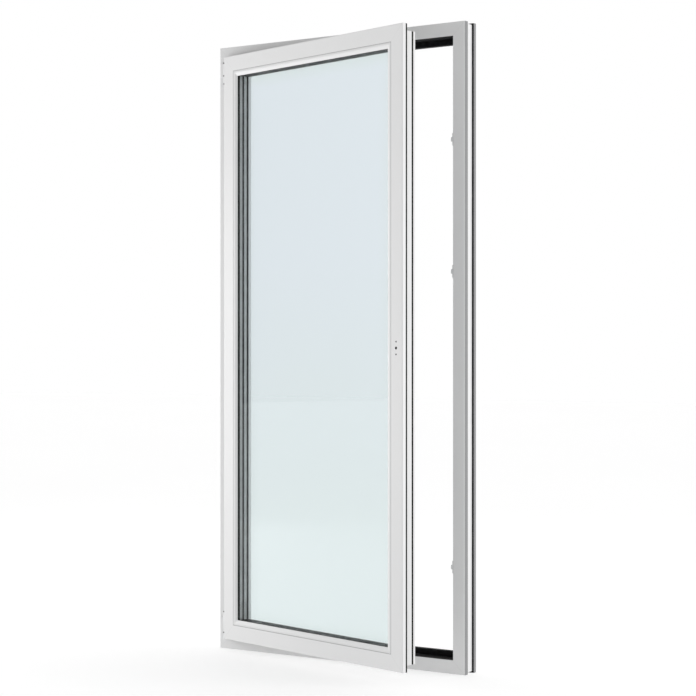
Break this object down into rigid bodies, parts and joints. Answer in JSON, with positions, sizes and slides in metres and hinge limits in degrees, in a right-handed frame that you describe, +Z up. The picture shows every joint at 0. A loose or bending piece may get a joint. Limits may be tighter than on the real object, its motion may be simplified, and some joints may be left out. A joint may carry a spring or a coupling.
{
  "type": "casement window",
  "caption": "Side-hung inward-opening balcony-door window with a mitred white plastic frame, triple glazing and a perimeter lock drive, handle not fitted",
  "frame": {"origin": "On the underside of the sill, midway along it, in the middle of its front rib (11 mm behind the indoor face)", "axes": "+X to the right seen from indoors, +Y outdoors, +Z up; the hinge line is on the -X side"},
  "size_m": [1.08, 0.3601, 2.28],
  "materials": {
    "white_pvc": "satin",
    "black_rubber": "matt",
    "clear_glass": "polished",
    "galvanised_steel": "galvanised",
    "zinc_screws": "zinc plated",
    "grey_spacer": "matt",
    "packer_plastic": "matt",
    "satin_steel": "satin",
    "white_painted_metal": "satin"
  },
  "bodies": {
    "frame": {"frame_head": "white_pvc", "frame_head_steel": "galvanised_steel", "frame_hinge_jamb": "white_pvc", "frame_hinge_jamb_steel": "galvanised_steel", "frame_hinge_screws": "zinc_screws", "frame_lock_jamb": "white_pvc", "frame_lock_jamb_steel": "galvanised_steel", "frame_seal": "black_rubber", "frame_sill": "white_pvc", "frame_sill_steel": "galvanised_steel", "keep_screws": "zinc_screws", "lower_frame_hinge": "white_painted_metal", "lower_hinge_cover": "white_pvc", "lower_hinge_pin": "satin_steel", "perimeter_seal": "black_rubber", "strike_plates": "white_painted_metal", "upper_frame_hinge": "white_painted_metal", "upper_hinge_cover": "white_pvc", "upper_hinge_pin": "satin_steel"},
    "sash": {"bead_gasket": "black_rubber", "bottom_corner_drive": "satin_steel", "bottom_faceplate": "satin_steel", "bottom_glazing_bead": "white_pvc", "faceplate_screws": "zinc_screws", "gearbox_case": "galvanised_steel", "glazing_packers": "packer_plastic", "hinge_side_glazing_bead": "white_pvc", "inner_edge_sealant": "black_rubber", "inner_pane": "clear_glass", "inner_spacer_bar": "grey_spacer", "lock_faceplate": "satin_steel", "lock_side_glazing_bead": "white_pvc", "lower_sash_hinge": "white_painted_metal", "middle_pane": "clear_glass", "outer_edge_sealant": "black_rubber", "outer_glazing_gasket": "black_rubber", "outer_pane": "clear_glass", "outer_spacer_bar": "grey_spacer", "sash_bottom_rail": "white_pvc", "sash_bottom_rail_steel": "galvanised_steel", "sash_hinge_screws": "zinc_screws", "sash_hinge_stile": "white_pvc", "sash_hinge_stile_steel": "galvanised_steel", "sash_lock_stile": "white_pvc", "sash_lock_stile_steel": "galvanised_steel", "sash_overlap_gasket": "black_rubber", "sash_rebate_gasket": "black_rubber", "sash_top_rail": "white_pvc", "sash_top_rail_steel": "galvanised_steel", "top_corner_drive": "satin_steel", "top_faceplate": "satin_steel", "top_glazing_bead": "white_pvc", "upper_sash_hinge": "white_painted_metal"},
    "hub": {"spindle_hub": "satin_steel"},
    "lock_rod": {"lock_rod": "satin_steel", "lock_cams": "satin_steel"},
    "top_rod": {"top_rod": "satin_steel", "top_cams": "satin_steel"},
    "bottom_rod": {"bottom_rod": "satin_steel", "bottom_cams": "satin_steel"}
  },
  "joints": [
    {"name": "sash_turn", "type": "hinge", "parent": "frame", "child": "sash", "pos_m": [-0.507, -0.023, 0], "axis": [0, 0, -1], "range_deg": [-15, 75]},
    {"name": "hub_turn", "type": "hinge", "parent": "sash", "child": "hub", "pos_m": [0.43206, -0.28549, 1.14], "axis": [-0.2588, -0.9659, 0], "range_deg": [0, 90]},
    {"name": "lock_rod_slide", "type": "slide", "parent": "sash", "child": "lock_rod", "axis": [0, 0, -1], "range_m": [0, 0.018]},
    {"name": "top_rod_slide", "type": "slide", "parent": "sash", "child": "top_rod", "axis": [0.9659, -0.2588, 0], "range_m": [0, 0.018]},
    {"name": "bottom_rod_slide", "type": "slide", "parent": "sash", "child": "bottom_rod", "axis": [-0.9659, 0.2588, 0], "range_m": [0, 0.018]}
  ],
  "couplings": [
    {"joint": "hub_turn", "follows": "lock_rod_slide", "rad_per_m": 87.266},
    {"joint": "top_rod_slide", "follows": "lock_rod_slide", "ratio": 1},
    {"joint": "bottom_rod_slide", "follows": "lock_rod_slide", "ratio": 1}
  ]
}
